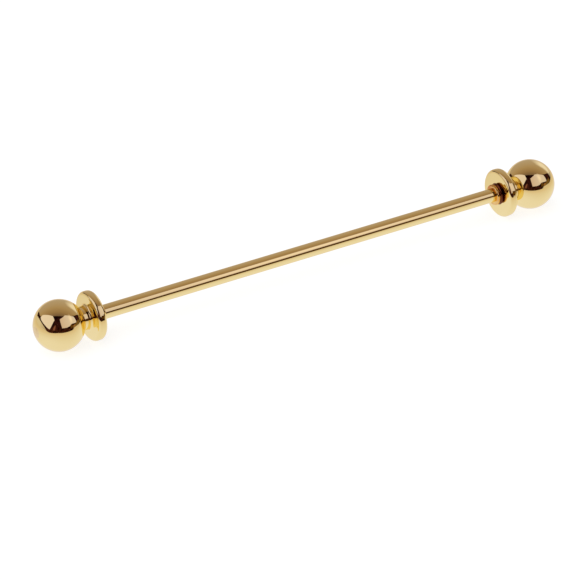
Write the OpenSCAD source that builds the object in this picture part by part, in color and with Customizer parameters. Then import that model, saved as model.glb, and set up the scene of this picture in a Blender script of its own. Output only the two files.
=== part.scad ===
// Collar bar: a plain rod that holds a shirt collar between two flanges, each kept on by a ball that screws off.
// The rod lies along X with its middle at the origin. All lengths are in millimetres.

/* [Rod] */
// Clear length between the two flange faces that hold the collar
grip_len = 45.7; // [36:0.1:60]
// Diameter of the plain rod
rod_d = 1.4; // [1.2:0.05:1.8]
// Bevel round each shoulder of the rod
shoulder_bevel = 0.06; // [0.02:0.01:0.1]

/* [Threaded stubs] */
// Width of the shoulder, the step from the rod down to the smooth guide that the flange rides on
shoulder_w = 0.2; // [0.16:0.01:0.24]
// Depth of the thread between its crest, which is as wide as the guide, and its root
thread_h = 0.15; // [0.1:0.01:0.18]
// Length of thread inside the ball
thread_len = 1.6; // [1.2:0.1:2]
// Bevel round the end of the stub
stub_bevel = 0.15; // [0.05:0.01:0.2]
// Width of the groove that lets the hub seat square on the shoulder
relief_w = 0.15; // [0.1:0.01:0.25]
// Depth of that groove
relief_h = 0.05; // [0.03:0.01:0.08]
// Radial clearance of the bores round the guide
bore_gap = 0.03; // [0.02:0.01:0.04]

/* [Flange] */
// Diameter of the flange
flange_d = 4.9; // [4:0.1:6]
// Thickness of the flange
flange_t = 0.95; // [0.8:0.05:1.2]
// Rounding of the two edges of the flange
rim_r = 0.36; // [0.2:0.02:0.38]
// Length of the hub on the collar side of the flange, its groove included
hub_len = 0.6; // [0.5:0.05:0.9]
// Diameter of the bead at the hub's free end
bead_d = 2.1; // [1.9:0.05:2.2]
// Width of the bead
bead_w = 0.36; // [0.32:0.02:0.44]
// Rounding of the bead's two edges
bead_r = 0.15; // [0.1:0.01:0.16]
// Diameter of the hollow groove between the bead and the flange, at its bottom
groove_d = 1.76; // [1.72:0.01:1.84]
// Diameter of the neck between the flange and the ball
neck_d = 2.3; // [2:0.05:2.8]
// Radius of the hollow where the neck meets the flange
cove_r = 0.28; // [0.16:0.02:0.36]

/* [Ball] */
// Diameter of the ball
ball_d = 5; // [4.2:0.1:6]
// Gap between the flange and the nearest point of the ball's full sphere
ball_gap = 0.5; // [0.4:0.05:1.2]
// Depth of the neck's seat in the ball
seat_depth = 0.2; // [0.1:0.05:0.4]
// Radial clearance of the neck in its seat
seat_gap = 0.02; // [0.01:0.01:0.04]
// Depth of the tapped hole past the end of the stub
hole_spare = 0.2; // [0.1:0.05:0.4]
// Bevel round the mouths of the bores and of the tapped hole
mouth_bevel = 0.04; // [0.02:0.01:0.06]

/* [Hidden] */
$fn = 96;
gold = [0.85, 0.68, 0.4];
drill_angle = 118;

// Diameters of the stub and of the bores round it
guide_d = rod_d - 2 * shoulder_w;
core_d = guide_d - 2 * thread_h;
relief_d = guide_d - 2 * relief_h;
bore_d = guide_d + 2 * bore_gap;

// Places along the axis, outwards from the middle of the rod
face_at = grip_len / 2;
shoulder_at = face_at - hub_len;
groove_at = shoulder_at + bead_w;
neck_at = face_at + flange_t;
ball_at = neck_at + ball_gap + ball_d / 2;
seat_mouth_at = ball_at - sqrt(pow(ball_d / 2, 2) - pow(neck_d / 2, 2));
seat_at = seat_mouth_at + seat_depth;
stub_end_at = seat_at + thread_len;
hole_end_at = stub_end_at + hole_spare;

// Turns a shape drawn upwards from the origin to point out of one end of the bar: -1 is left, 1 is right
module towards(side) {
    rotate([0, side * 90, 0])
        children();
}

// A turned solid, from an outline of [radius, place along the axis] points
module turned(outline) {
    rotate_extrude()
        polygon(outline);
}

// A step of a turned profile, from one place on the axis to the next, with its lower and upper edges rounded
module turned_step(from, to, d, low_r = 0, high_r = 0) {
    edge_x = d / 2 - max(low_r, high_r);
    translate([0, from])
        square([edge_x, to - from]);
    translate([0, from + low_r])
        square([d / 2, to - from - low_r - high_r]);
    if (low_r > 0)
        translate([d / 2 - low_r, from + low_r])
            circle(low_r);
    if (high_r > 0)
        translate([d / 2 - high_r, to - high_r])
            circle(high_r);
}

// One half of the rod: plain to its shoulder, then the relief groove, the smooth guide and the core of the thread
module half_rod() {
    turned([
        [0, 0],
        [rod_d / 2, 0],
        [rod_d / 2, shoulder_at - shoulder_bevel],
        [rod_d / 2 - shoulder_bevel, shoulder_at],
        [relief_d / 2, shoulder_at],
        [relief_d / 2, shoulder_at + relief_w],
        [guide_d / 2, shoulder_at + relief_w],
        [guide_d / 2, seat_at],
        [core_d / 2, seat_at],
        [core_d / 2, stub_end_at - stub_bevel],
        [core_d / 2 - stub_bevel, stub_end_at],
        [0, stub_end_at]
    ]);
}

// The flange's bore, bevelled at both mouths and open past them
module bush_bore() {
    past = ball_d;
    turned([
        [0, shoulder_at - past],
        [bore_d / 2 + mouth_bevel, shoulder_at - past],
        [bore_d / 2 + mouth_bevel, shoulder_at],
        [bore_d / 2, shoulder_at + mouth_bevel],
        [bore_d / 2, seat_at - mouth_bevel],
        [bore_d / 2 + mouth_bevel, seat_at],
        [bore_d / 2 + mouth_bevel, seat_at + past],
        [0, seat_at + past]
    ]);
}

// The hollow where the bottom of the groove runs out into the flange's face, clear of the bead
module groove_cove() {
    cove_w = face_at - groove_at;
    difference() {
        translate([0, groove_at])
            square([groove_d / 2 + cove_w, cove_w + flange_t / 2]);
        translate([groove_d / 2 + cove_w, groove_at])
            circle(cove_w);
    }
}

// The hollow where the neck meets the flange, with the solid under it
module neck_cove() {
    difference() {
        translate([0, face_at])
            square([neck_d / 2 + cove_r, flange_t + cove_r]);
        translate([neck_d / 2 + cove_r, neck_at + cove_r])
            circle(cove_r);
    }
}

// Hub, flange and neck turned in one piece, bored to ride on the stub
module flange_bush() {
    difference() {
        rotate_extrude() {
            turned_step(shoulder_at, groove_at, bead_d, bead_r, bead_r);
            turned_step(shoulder_at + bead_r, neck_at, groove_d);
            groove_cove();
            turned_step(face_at, neck_at, flange_d, rim_r, rim_r);
            neck_cove();
            turned_step(face_at, seat_at, neck_d);
        }
        bush_bore();
    }
}

// A ball with a flat-bottomed seat for the neck, and in it a blind drilled hole for the stub
module screw_ball() {
    tip_h = bore_d / 2 / tan(drill_angle / 2);
    difference() {
        translate([0, 0, ball_at])
            sphere(d = ball_d);
        turned([
            [0, neck_at],
            [neck_d / 2 + seat_gap, neck_at],
            [neck_d / 2 + seat_gap, seat_at],
            [bore_d / 2 + mouth_bevel, seat_at],
            [bore_d / 2, seat_at + mouth_bevel],
            [bore_d / 2, hole_end_at],
            [0, hole_end_at + tip_h]
        ]);
    }
}

module bar_rod() {
    color(gold) {
        towards(-1)
            half_rod();
        towards(1)
            half_rod();
    }
}

module left_flange() {
    color(gold)
        towards(-1)
            flange_bush();
}

module left_ball() {
    color(gold)
        towards(-1)
            screw_ball();
}

module right_flange() {
    color(gold)
        towards(1)
            flange_bush();
}

module right_ball() {
    color(gold)
        towards(1)
            screw_ball();
}

bar_rod();
left_flange();
left_ball();
right_flange();
right_ball();
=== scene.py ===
# Collar bar: a polished gold rod between two flanges, each kept on by a ball that screws off.
import math

import bmesh
import bpy
from mathutils import Matrix, Vector


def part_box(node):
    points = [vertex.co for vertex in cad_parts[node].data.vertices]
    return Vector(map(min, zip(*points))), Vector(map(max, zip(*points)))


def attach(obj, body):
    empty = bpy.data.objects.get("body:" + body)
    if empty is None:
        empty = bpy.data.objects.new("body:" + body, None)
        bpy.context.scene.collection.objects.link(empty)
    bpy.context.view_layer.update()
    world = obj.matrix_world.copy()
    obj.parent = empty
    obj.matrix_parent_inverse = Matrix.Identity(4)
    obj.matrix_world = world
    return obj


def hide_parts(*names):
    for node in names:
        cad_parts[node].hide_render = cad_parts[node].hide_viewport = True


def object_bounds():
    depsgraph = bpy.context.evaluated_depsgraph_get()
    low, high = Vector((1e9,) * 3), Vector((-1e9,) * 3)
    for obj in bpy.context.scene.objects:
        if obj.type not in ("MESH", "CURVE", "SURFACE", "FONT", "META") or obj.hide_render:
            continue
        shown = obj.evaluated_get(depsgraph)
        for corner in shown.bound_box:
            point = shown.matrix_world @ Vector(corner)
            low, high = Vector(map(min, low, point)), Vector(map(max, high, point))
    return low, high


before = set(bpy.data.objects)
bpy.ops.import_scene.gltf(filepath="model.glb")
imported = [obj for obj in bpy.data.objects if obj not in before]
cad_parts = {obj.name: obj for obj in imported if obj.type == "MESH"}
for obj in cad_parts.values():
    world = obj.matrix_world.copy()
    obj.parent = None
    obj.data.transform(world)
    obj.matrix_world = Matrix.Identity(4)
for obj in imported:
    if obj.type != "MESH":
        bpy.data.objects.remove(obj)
cadLow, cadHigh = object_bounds()
mm = 0.001
print("frame loaded:", len(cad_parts), "nodes")

# places that the CAD gives, in millimetres outwards from the middle of the bar
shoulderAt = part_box("right_flange")[0].x / mm
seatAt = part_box("right_flange")[1].x / mm
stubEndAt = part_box("bar_rod")[1].x / mm
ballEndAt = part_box("right_ball")[1].x / mm


def addNode(tree, kind, place, inputs=None, **settings):
    # each input is a constant or the socket that feeds it
    node = tree.nodes.new(kind)
    node.location = place
    for key, value in settings.items():
        setattr(node, key, value)
    for key, value in (inputs or {}).items():
        if isinstance(value, bpy.types.NodeSocket):
            tree.links.new(value, node.inputs[key])
        else:
            node.inputs[key].default_value = value
    return node


def mathNode(tree, operation, place, *terms):
    return addNode(tree, "ShaderNodeMath", place, dict(enumerate(terms)), operation=operation).outputs[0]


def addObject(name, data):
    item = bpy.data.objects.new(name, data)
    bpy.context.scene.collection.objects.link(item)
    return item


# what all the finishes share
finishMix = {
    "edgeTint": (1, 0.96, 0.78, 1),
    "noiseSpan": (0.3, 0.7),
    "toneDetail": 3,
    "wipeDetail": 4,
    "wipeTwist": 0.6,
    "lineDetail": 2,
    "lineStrength": 0.5,
}
# a mirror polish with a faint drift of tone, soft wipe marks and the lines left by the lathe
mirrorLook = {
    "paleGold": (0.965, 0.775, 0.268, 1),
    "deepGold": (0.955, 0.76, 0.252, 1),
    "toneScale": 420,
    "leastRough": 0.03,
    "mostRough": 0.05,
    "wipeScale": 900,
    "lineScale": 9000,
    "lineHeight": 0.0000002,
}
# the stubs, bores and threads are as they came off the lathe
cutLook = {
    "paleGold": (0.93, 0.73, 0.31, 1),
    "deepGold": (0.84, 0.63, 0.24, 1),
    "toneScale": 2600,
    "leastRough": 0.12,
    "mostRough": 0.26,
    "wipeScale": 3000,
    "lineScale": 26000,
    "lineHeight": 0.000001,
}
# painted shade: the hub's bead gets a darker, redder gold than the mirror polish
beadShadeLook = {
    "paleGold": (0.95, 0.66, 0.17, 1),
    "deepGold": (0.66, 0.25, 0.05, 1),
    "toneScale": 900,
    "leastRough": 0.04,
    "mostRough": 0.1,
    "wipeScale": 2000,
    "lineScale": 12000,
    "lineHeight": 0.0000002,
}
# painted shade: the hub's groove is dark red-brown, in patches
grooveShadeLook = {
    "paleGold": (0.27, 0.075, 0.018, 1),
    "deepGold": (0.05, 0.011, 0.004, 1),
    "toneScale": 1300,
    "leastRough": 0.08,
    "mostRough": 0.2,
    "wipeScale": 2000,
    "lineScale": 12000,
    "lineHeight": 0.0000005,
}


def goldMaterial(name, look):
    material = bpy.data.materials.new(name)
    material.use_nodes = True
    tree = material.node_tree
    tree.nodes.clear()
    low, high = finishMix["noiseSpan"]
    where = addNode(tree, "ShaderNodeTexCoord", (-900, 0)).outputs["Object"]

    tone = addNode(tree, "ShaderNodeTexNoise", (-300, 300), {
        "Vector": where,
        "Scale": look["toneScale"],
        "Detail": finishMix["toneDetail"],
    })
    golds = addNode(tree, "ShaderNodeValToRGB", (0, 300), {"Fac": tone.outputs["Fac"]})
    deep, pale = golds.color_ramp.elements
    deep.position, deep.color = low, look["deepGold"]
    pale.position, pale.color = high, look["paleGold"]

    wipe = addNode(tree, "ShaderNodeTexNoise", (-300, 0), {
        "Vector": where,
        "Scale": look["wipeScale"],
        "Detail": finishMix["wipeDetail"],
        "Distortion": finishMix["wipeTwist"],
    })
    rough = addNode(tree, "ShaderNodeMapRange", (0, 0), {
        "Value": wipe.outputs["Fac"],
        "From Min": low,
        "From Max": high,
        "To Min": look["leastRough"],
        "To Max": look["mostRough"],
    })

    # lathe lines run round the bar: they change only along it and with the distance from its axis
    parts = addNode(tree, "ShaderNodeSeparateXYZ", (-700, -300), {"Vector": where}).outputs
    across = addNode(tree, "ShaderNodeCombineXYZ", (-550, -450), {"Y": parts["Y"], "Z": parts["Z"]})
    reach = addNode(
        tree, "ShaderNodeVectorMath", (-400, -450), {0: across.outputs["Vector"]}, operation="LENGTH"
    )
    lathe = addNode(tree, "ShaderNodeCombineXYZ", (-250, -300), {
        "X": parts["X"],
        "Y": reach.outputs["Value"],
    })
    lines = addNode(tree, "ShaderNodeTexNoise", (-50, -300), {
        "Vector": lathe.outputs["Vector"],
        "Scale": look["lineScale"],
        "Detail": finishMix["lineDetail"],
    })
    bump = addNode(tree, "ShaderNodeBump", (250, -300), {
        "Height": lines.outputs["Fac"],
        "Strength": finishMix["lineStrength"],
        "Distance": look["lineHeight"],
    })
    metal = addNode(tree, "ShaderNodeBsdfPrincipled", (600, 0), {
        "Metallic": 1,
        "Specular Tint": finishMix["edgeTint"],
        "Base Color": golds.outputs["Color"],
        "Roughness": rough.outputs["Result"],
        "Normal": bump.outputs["Normal"],
    })
    addNode(tree, "ShaderNodeOutputMaterial", (900, 0), {"Surface": metal.outputs["BSDF"]})
    return material


mirrorGold = goldMaterial("mirrorGold", mirrorLook)
cutGold = goldMaterial("cutGold", cutLook)
# the next two are painted shade for the hubs
beadShadeGold = goldMaterial("beadShadeGold", beadShadeLook)
grooveShadeGold = goldMaterial("grooveShadeGold", grooveShadeLook)
print("materials made")

# what every turned piece shares: rings close to both ends of each straight stretch keep flats flat beside a
# rounded edge, points nearer than onAxis lie on the axis, and edges sharper than the crease angle stay sharp
turning = {"hold": 0.012, "leastHeld": 0.06, "onAxis": 1e-6, "crease": math.radians(25)}


# An outline is a list of (place along the bar, distance from its axis) points, in millimetres.
def arc(along, away, size, start, end, count):
    points = []
    for k in range(count + 1):
        turn = math.radians(start + (end - start) * k / count)
        points.append((along + size * math.cos(turn), away + size * math.sin(turn)))
    return points


def withHoldingRings(outline, closed):
    held = []
    count = len(outline)
    for k, point in enumerate(outline):
        held.append(point)
        if k == count - 1 and not closed:
            break
        after = outline[(k + 1) % count]
        length = math.dist(point, after)
        if length > turning["leastHeld"]:
            for share in (turning["hold"] / length, 1 - turning["hold"] / length):
                held.append(tuple(point[i] + (after[i] - point[i]) * share for i in (0, 1)))
    return held


def turnFacesOut(shape):
    bmesh.ops.recalc_face_normals(shape, faces=shape.faces)
    if shape.calc_volume(signed=True) < 0:
        bmesh.ops.reverse_faces(shape, faces=shape.faces)
    for face in shape.faces:
        face.smooth = True


def turnedPiece(name, s, outline, closed, turn, paintedShadeBands=()):
    # turn is the piece's place round Z: 0 for the right end, pi for the left
    # the last argument lists (how far along the bar it goes, material) for parts given painted shade instead
    # of the mirror polish
    steps = s["steps"]
    angles = [2 * math.pi * k / steps for k in range(steps)]
    shape = bmesh.new()
    rings = []
    for along, away in withHoldingRings(outline, closed):
        around = [(0, 0)]
        if away >= turning["onAxis"]:
            around = [(away * math.cos(angle) * mm, away * math.sin(angle) * mm) for angle in angles]
        rings.append([shape.verts.new((along * mm, y, z)) for y, z in around])
    pairs = list(zip(rings, rings[1:]))
    if closed:
        pairs.append((rings[-1], rings[0]))
    for first, second in pairs:
        for k in range(steps):
            j = (k + 1) % steps
            if len(first) == 1:
                corners = (first[0], second[k], second[j])
            elif len(second) == 1:
                corners = (first[k], second[0], first[j])
            else:
                corners = (first[k], second[k], second[j], first[j])
            shape.faces.new(corners)
    turnFacesOut(shape)
    for face in shape.faces:
        middle = face.calc_center_median() / mm
        if math.hypot(middle.y, middle.z) < s["cutWithin"]:
            face.material_index = 1
            continue
        for index, (reach, finish) in enumerate(paintedShadeBands, 2):
            if middle.x < reach:
                face.material_index = index
                break
    shape.transform(Matrix.Rotation(turn, 4, "Z"))
    mesh = bpy.data.meshes.new(name)
    shape.to_mesh(mesh)
    shape.free()
    for finish in (mirrorGold, cutGold, *(finish for reach, finish in paintedShadeBands)):
        mesh.materials.append(finish)
    mesh.set_sharp_from_angle(angle=turning["crease"])
    return addObject(name, mesh)


leftEnd, rightEnd = math.pi, 0.0

# rod: plain between its shoulders, with a relief groove, a smooth guide and a thread core at each end;
# faces nearer to the axis than cutWithin have the finish of the lathe, here and on the other pieces
rodSizes = {
    "radius": 0.7,
    "shoulderBevel": 0.06,
    "reliefRadius": 0.45,
    "reliefWidth": 0.15,
    "guideRadius": 0.5,
    "coreRadius": 0.35,
    "stubBevel": 0.15,
    "cutWithin": 0.66,
    "steps": 192,
}


def rodOutline(s):
    half = [
        (shoulderAt - s["shoulderBevel"], s["radius"]),
        (shoulderAt, s["radius"] - s["shoulderBevel"]),
        (shoulderAt, s["reliefRadius"]),
        (shoulderAt + s["reliefWidth"], s["reliefRadius"]),
        (shoulderAt + s["reliefWidth"], s["guideRadius"]),
        (seatAt, s["guideRadius"]),
        (seatAt, s["coreRadius"]),
        (stubEndAt - s["stubBevel"], s["coreRadius"]),
        (stubEndAt, s["coreRadius"] - s["stubBevel"]),
        (stubEndAt, 0),
    ]
    return [(-along, away) for along, away in reversed(half)] + half


bar = turnedPiece("bar", rodSizes, rodOutline(rodSizes), False, rightEnd)
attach(bar, "bar")
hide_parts("bar_rod")
print("rod turned")

# flange: a thick disc with rounded edges, a beaded hub on the collar side and the neck that seats in the ball
flangeSizes = {
    "radius": 2.45,
    "thickness": 0.95,
    "rimRound": 0.36,
    "rimSteps": 28,
    "hubLength": 0.6,
    "beadRadius": 1.05,
    "beadWidth": 0.36,
    "beadRound": 0.15,
    "beadSteps": 16,
    "grooveRadius": 0.88,
    "neckRadius": 1.15,
    "coveRound": 0.28,
    "hollowSteps": 20,
    "boreRadius": 0.53,
    "mouthBevel": 0.04,
    # how far the dark red-brown painted shade of the groove reaches onto the bead
    "grooveShadeOnBead": 0.1,
    "faceMargin": 0.001,
    "cutWithin": 0.56,
    "steps": 256,
}


def flangeOutline(s):
    rim, bead, cove = s["rimRound"], s["beadRound"], s["coveRound"]
    rimAway, beadAway = s["radius"] - rim, s["beadRadius"] - bead
    mouth = s["boreRadius"] + s["mouthBevel"]
    grooveAt = shoulderAt + s["beadWidth"]
    faceAt = shoulderAt + s["hubLength"]
    neckAt = faceAt + s["thickness"]
    hollow = faceAt - grooveAt
    return [
        (shoulderAt, mouth),
        *arc(shoulderAt + bead, beadAway, bead, 180, 90, s["beadSteps"]),
        *arc(grooveAt - bead, beadAway, bead, 90, 0, s["beadSteps"]),
        *arc(grooveAt, s["grooveRadius"] + hollow, hollow, 270, 360, s["hollowSteps"]),
        *arc(faceAt + rim, rimAway, rim, 180, 90, s["rimSteps"]),
        *arc(neckAt - rim, rimAway, rim, 90, 0, s["rimSteps"]),
        *arc(neckAt + cove, s["neckRadius"] + cove, cove, 180, 270, s["hollowSteps"]),
        (seatAt, s["neckRadius"]),
        (seatAt, mouth),
        (seatAt - s["mouthBevel"], s["boreRadius"]),
        (shoulderAt + s["mouthBevel"], s["boreRadius"]),
    ]


# painted shade on each hub: the bead's darker, redder gold, then dark red-brown from the end of the bead
# through the groove up to the face
hubPaintedShade = (
    (shoulderAt + flangeSizes["beadWidth"] - flangeSizes["grooveShadeOnBead"], beadShadeGold),
    (shoulderAt + flangeSizes["hubLength"] - flangeSizes["faceMargin"], grooveShadeGold),
)

# ball: a full sphere, cut by the neck's flat seat and the blind drilled hole for the stub
ballSizes = {
    "radius": 2.5,
    "arcSteps": 150,
    "seatRadius": 1.17,
    "seatGap": 0.004,
    "lipRound": 0.025,
    "lipSteps": 10,
    "boreRadius": 0.53,
    "mouthBevel": 0.04,
    "holeSpare": 0.2,
    "drillAngle": 118,
    "cutWithin": 0.56,
    "steps": 256,
}


def ballOutline(s):
    ballAt = ballEndAt - s["radius"]
    lip = s["lipRound"]
    lipAway = s["seatRadius"] + lip
    lipBack = math.sqrt((s["radius"] - lip) ** 2 - lipAway ** 2)
    lipTurn = 180 - math.degrees(math.atan2(lipAway, lipBack))
    holeEndAt = stubEndAt + s["holeSpare"]
    tip = s["boreRadius"] / math.tan(math.radians(s["drillAngle"] / 2))
    return [
        *arc(ballAt, 0, s["radius"], 0, lipTurn, s["arcSteps"]),
        *arc(ballAt - lipBack, lipAway, lip, lipTurn, 270, s["lipSteps"])[1:],
        (seatAt + s["seatGap"], s["seatRadius"]),
        (seatAt + s["seatGap"], s["boreRadius"] + s["mouthBevel"]),
        (seatAt + s["mouthBevel"], s["boreRadius"]),
        (holeEndAt, s["boreRadius"]),
        (holeEndAt + tip, 0),
    ]


for side, turn in (("left", leftEnd), ("right", rightEnd)):
    flange = turnedPiece(
        side + "Flange", flangeSizes, flangeOutline(flangeSizes), True, turn, hubPaintedShade
    )
    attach(flange, side + "_flange")
    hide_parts(side + "_flange")
    ball = turnedPiece(side + "Ball", ballSizes, ballOutline(ballSizes), False, turn)
    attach(ball, side + "_ball")
    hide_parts(side + "_ball")
print("flanges and balls turned")

# threads: one turn every quarter of a millimetre, the ball's ridge half a turn behind the stub's;
# each ridge runs out over its first and last third of a turn, and its foot is sunk into what carries it
threadSizes = {
    "pitch": 0.25,
    "stepsPerTurn": 64,
    "embed": 0.02,
    "runOutTurns": 0.33,
    "runOutLeast": 0.08,
    "stub": {
        "root": 0.35, "crest": 0.5, "rootWidth": 0.204, "crestWidth": 0.031, "start": 0.03, "turns": 5.5,
    },
    "ball": {
        "root": 0.53, "crest": 0.38, "rootWidth": 0.233, "crestWidth": 0.06, "start": 0.155, "turns": 6.1,
    },
}


def threadTree():
    tree = bpy.data.node_groups.new("threadRidge", "GeometryNodeTree")
    tree.is_modifier = True
    face = tree.interface
    face.new_socket("Geometry", in_out="OUTPUT", socket_type="NodeSocketGeometry")
    kinds = {
        "NodeSocketFloat": (
            "Pitch", "Turns", "Start", "Foot Radius", "Height", "Foot Width", "Crest Width", "Lean",
            "First Turn",
        ),
        "NodeSocketInt": ("Steps", "Ends"),
        "NodeSocketMaterial": ("Metal",),
    }
    sockets = {
        key: face.new_socket(key, in_out="INPUT", socket_type=kind).identifier
        for kind, keys in kinds.items() for key in keys
    }
    given = addNode(tree, "NodeGroupInput", (-1200, 0)).outputs

    rise = mathNode(tree, "MULTIPLY", (-900, 200), given["Pitch"], given["Turns"])
    path = addNode(tree, "GeometryNodeCurveSpiral", (-700, 200), {
        "Resolution": given["Steps"],
        "Rotations": given["Turns"],
        "Start Radius": given["Foot Radius"],
        "End Radius": given["Foot Radius"],
        "Height": rise,
        "Reverse": True,
    })
    upright = addNode(
        tree, "GeometryNodeSetCurveNormal", (-500, 200), {"Curve": path.outputs["Curve"]}, mode="Z_UP"
    )
    along = addNode(tree, "GeometryNodeSplineParameter", (-900, -100))
    turnsDone = mathNode(tree, "MULTIPLY", (-700, -100), along.outputs["Factor"], given["Turns"])
    turnsLeft = mathNode(tree, "SUBTRACT", (-700, -300), given["Turns"], turnsDone)
    nearest = mathNode(tree, "MINIMUM", (-500, -200), turnsDone, turnsLeft)
    runOut = addNode(tree, "ShaderNodeMapRange", (-300, -200), {
        "Value": nearest,
        "From Max": threadSizes["runOutTurns"],
        "To Min": threadSizes["runOutLeast"],
    })
    sized = addNode(tree, "GeometryNodeSetCurveRadius", (-300, 200), {
        "Curve": upright.outputs["Curve"],
        "Radius": runOut.outputs["Result"],
    })

    section = addNode(tree, "GeometryNodeCurvePrimitiveQuadrilateral", (-700, -500), {
        "Bottom Width": given["Foot Width"],
        "Top Width": given["Crest Width"],
        "Height": given["Height"],
        "Offset": 0,
    }, mode="TRAPEZOID")
    halfHigh = mathNode(tree, "MULTIPLY", (-700, -750), given["Height"], 0.5)
    lift = addNode(tree, "ShaderNodeCombineXYZ", (-500, -750), {"Y": halfHigh})
    onFoot = addNode(tree, "GeometryNodeTransform", (-300, -500), {
        "Geometry": section.outputs["Curve"],
        "Translation": lift.outputs["Vector"],
    })
    leanAbout = addNode(tree, "ShaderNodeCombineXYZ", (-300, -750), {"Z": given["Lean"]})
    leant = addNode(tree, "GeometryNodeTransform", (-100, -500), {
        "Geometry": onFoot.outputs["Geometry"],
        "Rotation": leanAbout.outputs["Vector"],
    })

    ridge = addNode(tree, "GeometryNodeCurveToMesh", (100, 100), {
        "Curve": sized.outputs["Curve"],
        "Profile Curve": leant.outputs["Geometry"],
        "Fill Caps": True,
    })
    startAt = addNode(tree, "ShaderNodeCombineXYZ", (300, -150), {"X": given["Start"]})
    lay = addNode(tree, "GeometryNodeTransform", (300, 100), {
        "Geometry": ridge.outputs["Mesh"],
        "Translation": startAt.outputs["Vector"],
        "Rotation": (0, math.pi / 2, 0),
    })

    # one ridge, or the same one turned about for the other end of the bar
    spots = addNode(tree, "GeometryNodeMeshLine", (300, 400), {
        "Count": given["Ends"],
        "Offset": (0, 0, 0),
    })
    number = addNode(tree, "GeometryNodeInputIndex", (300, 600)).outputs["Index"]
    turnAbout = mathNode(tree, "MULTIPLY_ADD", (500, 600), number, math.pi, given["First Turn"])
    turned = addNode(tree, "ShaderNodeCombineXYZ", (700, 600), {"Z": turnAbout})
    placed = addNode(tree, "GeometryNodeInstanceOnPoints", (900, 200), {
        "Points": spots.outputs["Mesh"],
        "Instance": lay.outputs["Geometry"],
        "Rotation": turned.outputs["Vector"],
    })
    real = addNode(tree, "GeometryNodeRealizeInstances", (1100, 100), {
        "Geometry": placed.outputs["Instances"],
    })
    coated = addNode(tree, "GeometryNodeSetMaterial", (1300, 100), {
        "Geometry": real.outputs["Geometry"],
        "Material": given["Metal"],
    })
    addNode(tree, "NodeGroupOutput", (1600, 0), {"Geometry": coated.outputs["Geometry"]})
    return tree, sockets


ridgeTree, ridgeSockets = threadTree()


def threadPiece(name, s, ends, firstTurn, body):
    # a ridge that points outwards stands on the stub, and one that points inwards is in the ball's hole
    outward = s["crest"] > s["root"]
    foot = s["root"] - threadSizes["embed"] if outward else s["root"] + threadSizes["embed"]
    holder = addObject(name + "Maker", bpy.data.meshes.new(name + "Maker"))
    maker = holder.modifiers.new("ridge", "NODES")
    maker.node_group = ridgeTree
    for key, value in {
        "Pitch": threadSizes["pitch"] * mm,
        "Turns": s["turns"],
        "Steps": threadSizes["stepsPerTurn"],
        "Start": (seatAt + s["start"]) * mm,
        "Foot Radius": foot * mm,
        "Height": abs(s["crest"] - foot) * mm,
        "Foot Width": s["rootWidth"] * mm,
        "Crest Width": s["crestWidth"] * mm,
        "Lean": -math.pi / 2 if outward else math.pi / 2,
        "Ends": ends,
        "First Turn": firstTurn,
        "Metal": cutGold,
    }.items():
        maker[ridgeSockets[key]] = value
    graph = bpy.context.evaluated_depsgraph_get()
    mesh = bpy.data.meshes.new_from_object(holder.evaluated_get(graph))
    bpy.data.objects.remove(holder)
    shape = bmesh.new()
    shape.from_mesh(mesh)
    turnFacesOut(shape)
    shape.to_mesh(mesh)
    shape.free()
    mesh.set_sharp_from_angle(angle=turning["crease"])
    mesh.name = name
    piece = addObject(name, mesh)
    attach(piece, body)


threadPiece("stubThreads", threadSizes["stub"], 2, rightEnd, "bar")
threadPiece("leftBallThread", threadSizes["ball"], 1, leftEnd, "left_ball")
threadPiece("rightBallThread", threadSizes["ball"], 1, rightEnd, "right_ball")
print("threads cut")

# camera: the photograph's viewing angle
cameraSizes = {
    "azimuth": -31.585,
    "elevation": 29.8,
    "distance": 0.358675,
    "aside": (-0.001198, -0.003654),
    "lens": 229.57,
    "sensor": 36,
    "clip": (0.01, 20),
}


def direction(azimuth, elevation):
    # azimuth is counted from the camera's side of the bar, to the right
    across, up = math.radians(cameraSizes["azimuth"] + azimuth), math.radians(elevation)
    return Vector((math.sin(across) * math.cos(up), -math.cos(across) * math.cos(up), math.sin(up)))


back = direction(0, cameraSizes["elevation"])
rightward = direction(90, 0)
upward = back.cross(rightward)
lensData = bpy.data.cameras.new("camera")
lensData.lens = cameraSizes["lens"]
lensData.sensor_width = cameraSizes["sensor"]
lensData.clip_start, lensData.clip_end = cameraSizes["clip"]
camera = addObject("camera", lensData)
asideRight, asideUp = cameraSizes["aside"]
camera.location = rightward * asideRight + upward * asideUp + back * cameraSizes["distance"]
camera.rotation_mode = "QUATERNION"
camera.rotation_quaternion = Matrix((rightward, upward, back)).transposed().to_quaternion()
bpy.context.scene.camera = camera
print("camera placed")


# studio: a white floor, a warm roof cloth behind and above, light panels in front and to the sides, and the
# dark room that shows between and below them. Only the floor is seen by the camera, and only the rest by the
# gold, where a white table sheet stands for the floor.
def stageObject(name, vertices, faces, material):
    mesh = bpy.data.meshes.new(name)
    mesh.from_pydata(vertices, [], faces)
    mesh.materials.append(material)
    item = addObject(name, mesh)
    return item


def onlyInTheGold(item):
    item.visible_camera = False
    item.visible_diffuse = False
    item.visible_transmission = False
    item.visible_volume_scatter = False
    item.visible_shadow = False


def stageMaterial(name):
    material = bpy.data.materials.new(name)
    material.use_nodes = True
    material.cycles.emission_sampling = "NONE"
    material.node_tree.nodes.clear()
    return material, material.node_tree


def addSurface(tree, shader):
    addNode(tree, "ShaderNodeOutputMaterial", (600, 0), {"Surface": shader.outputs[0]})


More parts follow.
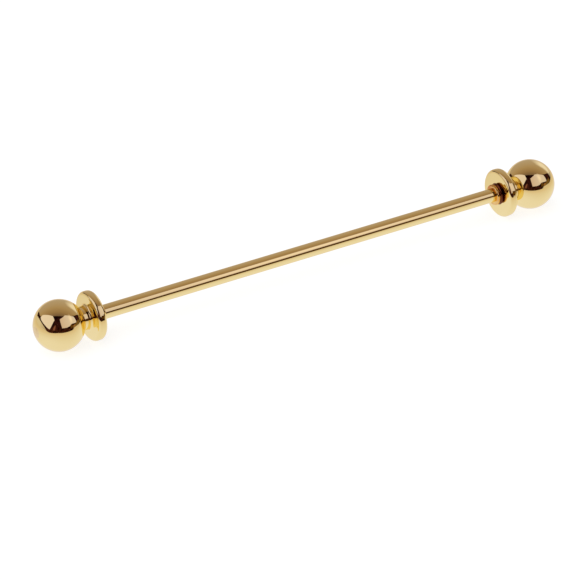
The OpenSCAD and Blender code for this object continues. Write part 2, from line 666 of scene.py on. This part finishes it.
def toneRamp(tree, value, tones, place):
    least, most = tones[0][0], tones[-1][0]
    share = addNode(tree, "ShaderNodeMapRange", (place[0] - 200, place[1]), {
        "Value": value,
        "From Min": least,
        "From Max": most,
    })
    shades = addNode(tree, "ShaderNodeValToRGB", place, {"Fac": share.outputs["Result"]})
    ramp = shades.color_ramp.elements
    for k, (at, tone) in enumerate(tones):
        position = (at - least) / (most - least)
        stop = ramp[k] if k < 2 else ramp.new(position)
        stop.position = position
        stop.color = (*tone, 1)
    return shades.outputs["Color"]


def seenBright(tree, place):
    # 1 for the rays of the camera and for those that come by way of the gold, 0 for those that light things
    x, y = place
    ray = addNode(tree, "ShaderNodeLightPath", place).outputs
    seen = mathNode(tree, "MAXIMUM", (x + 200, y), ray["Is Camera Ray"], ray["Is Glossy Ray"])
    return mathNode(tree, "MAXIMUM", (x + 400, y), seen, ray["Is Transmission Ray"])


def wayFromMiddle(tree, place):
    where = addNode(tree, "ShaderNodeTexCoord", (place[0] - 200, place[1])).outputs["Object"]
    return addNode(tree, "ShaderNodeVectorMath", place, {0: where}, operation="NORMALIZE").outputs["Vector"]


floorSizes = {"radius": 2.4, "level": cadLow.z, "steps": 96, "glow": 0.78, "albedo": 0.4}


def floorMaterial():
    material, tree = stageMaterial("whiteFloor")
    glow = mathNode(tree, "MULTIPLY", (0, 200), seenBright(tree, (-600, 200)), floorSizes["glow"])
    light = addNode(tree, "ShaderNodeEmission", (200, 200), {"Strength": glow})
    paint = addNode(tree, "ShaderNodeBsdfDiffuse", (200, 0), {
        "Color": (floorSizes["albedo"],) * 3 + (1,),
    })
    addSurface(tree, addNode(tree, "ShaderNodeAddShader", (400, 100), {
        0: light.outputs["Emission"],
        1: paint.outputs["BSDF"],
    }))
    return material


def floorRim(s):
    turns = [2 * math.pi * k / s["steps"] for k in range(s["steps"])]
    return [(s["radius"] * math.cos(turn), s["radius"] * math.sin(turn), s["level"]) for turn in turns]


floor = stageObject("floor", floorRim(floorSizes), [tuple(range(floorSizes["steps"]))], floorMaterial())
floor.visible_glossy = False

# the sheet is brightest under the bar and dimmer further off; each tone goes with its distance from the bar
sheetLook = {
    "halfWidth": 2.0,
    "front": 0.05,
    "back": 2.0,
    "cutCorner": (0.058, 0.012),
    "tones": [
        (0.0, (0.87, 0.89, 1.38)),
        (0.003, (0.85, 0.86, 1.30)),
        (0.006, (0.80, 0.79, 1.12)),
        (0.014, (0.75, 0.68, 0.86)),
        (0.036, (0.69, 0.61, 0.70)),
        (0.08, (0.69, 0.63, 0.80)),
    ],
}


def sheetMaterial():
    material, tree = stageMaterial("tableSheet")
    where = addNode(tree, "ShaderNodeTexCoord", (-1300, 0)).outputs["Object"]
    parts = addNode(tree, "ShaderNodeSeparateXYZ", (-1100, 0), {"Vector": where}).outputs
    eachWay = mathNode(tree, "ABSOLUTE", (-900, 100), parts["X"])
    pastEnd = mathNode(tree, "SUBTRACT", (-700, 100), eachWay, ballEndAt * mm)
    past = mathNode(tree, "MAXIMUM", (-600, -50), pastEnd, 0)
    off = addNode(tree, "ShaderNodeCombineXYZ", (-500, 0), {"X": past, "Y": parts["Y"]})
    reach = addNode(
        tree, "ShaderNodeVectorMath", (-400, 150), {0: off.outputs["Vector"]}, operation="LENGTH"
    )
    tones = toneRamp(tree, reach.outputs["Value"], sheetLook["tones"], (-100, 100))
    addSurface(tree, addNode(tree, "ShaderNodeEmission", (200, 100), {"Color": tones}))
    return material


def sheetRim(s):
    wide, nearBy, farOff = s["halfWidth"], s["front"], s["back"]
    cutX, cutY = s["cutCorner"]
    return [(x, y, floorSizes["level"]) for x, y in (
        (-cutX, -nearBy), (wide, -nearBy), (wide, farOff), (-wide, farOff), (-wide, -cutY), (-cutX, -cutY),
    )]


sheetCorners = sheetRim(sheetLook)
onlyInTheGold(stageObject("tableSheet", sheetCorners, [tuple(range(len(sheetCorners)))], sheetMaterial()))


# From here on, an outline is a list of (azimuth, elevation) corners seen from the middle of the bar.
def domePatch(name, s, middle, rim, material):
    # part of a sphere round the bar, from its middle out to the directions of its rim
    vertices = [middle * s["radius"]]
    for r in range(1, s["rings"] + 1):
        share = r / s["rings"]
        for way in rim:
            lean = middle.angle(way)
            near, far = math.sin((1 - share) * lean), math.sin(share * lean)
            vertices.append((middle * near + way * far) / math.sin(lean) * s["radius"])
    steps = len(rim)
    faces = [(0, 1 + k, 1 + (k + 1) % steps) for k in range(steps)]
    for r in range(s["rings"] - 1):
        low, high = 1 + r * steps, 1 + (r + 1) * steps
        for k in range(steps):
            j = (k + 1) % steps
            faces.append((low + k, high + k, high + j, low + j))
    onlyInTheGold(stageObject(name, vertices, faces, material))


# a dark room, a little browner towards its floor, with vague shapes in it
roomLook = {
    "radius": 2.2,
    "rings": 16,
    "steps": 96,
    "lowest": -10,
    "tones": [(0.0, (0.048, 0.013, 0.012)), (0.25, (0.036, 0.009, 0.011)), (0.5, (0.024, 0.006, 0.010))],
    "shapes": 5.0,
    "noiseSpan": (0.35, 0.65),
    "shade": (0.25, 1.4),
}


def roomMaterial():
    material, tree = stageMaterial("darkRoom")
    way = wayFromMiddle(tree, (-700, 0))
    height = addNode(tree, "ShaderNodeSeparateXYZ", (-500, 0), {"Vector": way}).outputs["Z"]
    tones = toneRamp(tree, height, roomLook["tones"], (-100, 0))
    shapes = addNode(tree, "ShaderNodeTexNoise", (-500, -250), {
        "Vector": way,
        "Scale": roomLook["shapes"],
    })
    shade = addNode(tree, "ShaderNodeMapRange", (-100, -250), {
        "Value": shapes.outputs["Fac"],
        "From Min": roomLook["noiseSpan"][0],
        "From Max": roomLook["noiseSpan"][1],
        "To Min": roomLook["shade"][0],
        "To Max": roomLook["shade"][1],
    })
    addSurface(tree, addNode(tree, "ShaderNodeEmission", (300, 0), {
        "Color": tones,
        "Strength": shade.outputs["Result"],
    }))
    return material


roomRim = [direction(360 * k / roomLook["steps"], roomLook["lowest"]) for k in range(roomLook["steps"])]
domePatch("darkRoom", roomLook, Vector((0, 0, 1)), roomRim, roomMaterial())

# the cloth is lit from behind and low, so it goes from deep bronze in front to pale at the back
roofLook = {
    "radius": 1.6,
    "rings": 16,
    "middle": (180, 46),
    "outline": [
        (0, 70), (20, 70), (40, 66), (58, 60), (75, 55), (90, 42), (105, 30), (118, 20), (125, 12),
        (140, 0), (160, -4), (180, -4), (-160, -4), (-140, 1), (-128, 10), (-118, 14), (-108, 19),
        (-90, 40), (-70, 54), (-58, 60), (-40, 66), (-20, 70),
    ],
    "tones": [
        (-0.35, (0.17, 0.115, 0.13)),
        (-0.2, (0.23, 0.157, 0.158)),
        (0.0, (0.32, 0.22, 0.195)),
        (0.42, (0.415, 0.315, 0.315)),
        (0.71, (0.44, 0.36, 0.44)),
        (0.9, (0.455, 0.385, 0.50)),
        (1.0, (0.465, 0.415, 0.57)),
    ],
}


def roofMaterial():
    material, tree = stageMaterial("roofCloth")
    lean = addNode(tree, "ShaderNodeVectorMath", (-500, 0), {
        0: wayFromMiddle(tree, (-700, 0)),
        1: direction(180, 0),
    }, operation="DOT_PRODUCT")
    tones = toneRamp(tree, lean.outputs["Value"], roofLook["tones"], (-100, 0))
    addSurface(tree, addNode(tree, "ShaderNodeEmission", (300, 0), {"Color": tones}))
    return material


roofRim = [direction(*corner) for corner in roofLook["outline"]]
domePatch("roofCloth", roofLook, direction(*roofLook["middle"]), roofRim, roofMaterial())

# The light panels, the cards that catch their light, and the brown and amber things that show in the room.
# Each has one glow, or one that goes from its first tone to its last between the two azimuths, and it fades
# over its soft part, towards its edge.
panels = [
    {
        "name": "leftLightPanel",
        "away": 1.5,
        "soft": 0.03,
        "between": (-110, -30),
        "glow": ((0.84, 0.79, 1.36), (0.78, 0.74, 1.26)),
        "outline": [
            (-35, 15), (-31, 30), (-28, 45), (-26, 50), (-38, 57), (-55, 62), (-75, 56), (-95, 42),
            (-107, 27), (-106, 18), (-95, 17), (-85, 17.2), (-70, 15.8), (-60, 14), (-50, 10.8),
            (-38.5, 7.5),
        ],
    },
    {
        "name": "rightLightPanel",
        "away": 0.42,
        "soft": 0.03,
        "between": (12, 60),
        "glow": ((0.65, 0.53, 0.83), (0.73, 0.68, 1.18)),
        "outline": [
            (13.5, 16), (35, 15), (50, 16.2), (58, 20), (64, 20.5), (72, 18), (80, 15), (90, 12),
            (92, 16), (97, 33), (89, 44), (75, 57), (60, 65), (40, 63), (22, 60), (4.5, 55), (6.5, 45),
            (10.5, 30),
        ],
    },
    {
        "name": "rodGlint",
        "away": 0.22,
        "soft": 0.85,
        "glow": ((0.95, 0.88, 1.4),),
        "outline": [(53, 22), (66, 20), (77, 30), (88, 46), (90, 58), (70, 60), (56, 46)],
    },
    {
        "name": "lowWhiteCard",
        "away": 0.45,
        "soft": 0.05,
        "between": (-90, -50),
        "glow": ((0.69, 0.65, 0.86), (0.44, 0.37, 0.46)),
        "outline": [
            (-137, -8), (-136, -5), (-122, 3.5), (-108, 10), (-90, 13), (-75, 11.5), (-62, 7.5),
            (-53, 1), (-50, -4), (-50, -8), (-60, -8), (-80, -8), (-100, -8), (-120, -8),
        ],
    },
    {
        "name": "lowRightCard",
        "away": 0.35,
        "soft": 0.45,
        "glow": ((0.74, 0.68, 0.86),),
        "outline": [
            (54, -7), (57, -3), (66, 4), (76, 3.5), (90, 2.5), (104, 0), (108, -7), (90, -9), (60, -9),
        ],
    },
    {
        "name": "backRightCard",
        "away": 1.2,
        "soft": 0.6,
        "glow": ((0.86, 0.84, 1.3),),
        "outline": [
            (119, -3), (120, 11), (127, 28), (138, 40), (156, 42), (172, 26), (176, -3), (145, -3),
        ],
    },
    {
        "name": "brownReflection",
        "away": 0.9,
        "soft": 0.5,
        "glow": ((0.22, 0.085, 0.095),),
        "outline": [(-27, 4), (-23, 20), (-17, 32), (-12, 30), (-14, 15), (-16, 4)],
    },
    {
        "name": "brownGlow",
        "away": 1.1,
        "soft": 0.4,
        "glow": ((0.12, 0.058, 0.013),),
        "outline": [(52, 4), (54, 14), (57, 24), (64, 26), (68, 20), (67, 10), (66, 4)],
    },
    {
        "name": "amberReflection",
        "away": 0.9,
        "soft": 0.5,
        "glow": ((0.30, 0.155, 0.075),),
        "outline": [(65, 1), (65, 9), (70, 13), (78, 13), (82, 9), (82, 1)],
    },
    {
        "name": "oliveReflection",
        "away": 1.0,
        "soft": 0.4,
        "glow": ((0.17, 0.10, 0.037),),
        "outline": [(74, 0), (74, 10), (84, 13), (100, 13), (112, 10), (112, 0)],
    },
]


def panelMaterial():
    material, tree = stageMaterial("lightPanel")
    glow = addNode(tree, "ShaderNodeAttribute", (-300, 0), attribute_name="glow").outputs
    clear = addNode(tree, "ShaderNodeBsdfTransparent", (0, 100))
    light = addNode(tree, "ShaderNodeEmission", (0, -100), {"Color": glow["Color"]})
    addSurface(tree, addNode(tree, "ShaderNodeMixShader", (300, 0), {
        "Fac": glow["Alpha"],
        1: clear.outputs["BSDF"],
        2: light.outputs["Emission"],
    }))
    return material


def lightPanel(s, material):
    # a fan from the panel's middle, with a ring inside its edge where the light begins to fade
    rim = [direction(*corner) * s["away"] for corner in s["outline"]]
    middle = sum(rim, Vector()) / len(rim)
    inner = [middle + (point - middle) * (1 - s["soft"]) for point in rim]
    count = len(rim)
    faces = []
    for k in range(count):
        j = (k + 1) % count
        faces.append((0, 1 + k, 1 + j))
        faces.append((1 + k, 1 + count + k, 1 + count + j, 1 + j))
    item = stageObject(s["name"], [middle, *inner, *rim], faces, material)
    azimuths = [corner[0] for corner in s["outline"]]
    azimuths = [sum(azimuths) / count] + azimuths * 2
    first, last = Vector(s["glow"][0]), Vector(s["glow"][-1])
    start, end = s.get("between", (0, 1))
    glow = item.data.attributes.new("glow", "FLOAT_COLOR", "POINT")
    for k, azimuth in enumerate(azimuths):
        share = (azimuth - start) / (end - start)
        tone = first.lerp(last, min(max(share, 0), 1))
        glow.data[k].color = (*tone, 1.0 if k <= count else 0.0)
    onlyInTheGold(item)


panelLight = panelMaterial()
for panel in panels:
    lightPanel(panel, panelLight)
print("studio set up")

# light: an even white sky for the floor and one wide soft lamp from the left
lampSizes = {"strength": 1.1, "spread": 80, "azimuth": -50, "elevation": 62}
skySizes = {"seen": 1, "ambient": 0.4, "colour": (1, 1, 1, 1)}

lampData = bpy.data.lights.new("softLamp", "SUN")
lampData.energy = lampSizes["strength"]
lampData.angle = math.radians(lampSizes["spread"])
lamp = addObject("softLamp", lampData)
lampWay = direction(lampSizes["azimuth"], lampSizes["elevation"])
lamp.rotation_mode = "QUATERNION"
lamp.rotation_quaternion = lampWay.to_track_quat("Z", "Y")
lamp.visible_glossy = False

world = bpy.data.worlds.new("sky")
bpy.context.scene.world = world
world.use_nodes = True
sky = world.node_tree
sky.nodes.clear()
dim = addNode(sky, "ShaderNodeBackground", (0, -100), {
    "Strength": skySizes["ambient"],
    "Color": skySizes["colour"],
})
white = addNode(sky, "ShaderNodeBackground", (0, 100), {
    "Strength": skySizes["seen"],
    "Color": skySizes["colour"],
})
pick = addNode(sky, "ShaderNodeMixShader", (250, 0), {
    "Fac": seenBright(sky, (-600, 100)),
    1: dim.outputs["Background"],
    2: white.outputs["Background"],
})
addNode(sky, "ShaderNodeOutputWorld", (500, 0), {"Surface": pick.outputs["Shader"]})
bpy.context.scene.view_settings.view_transform = "Standard"
print("lights on")
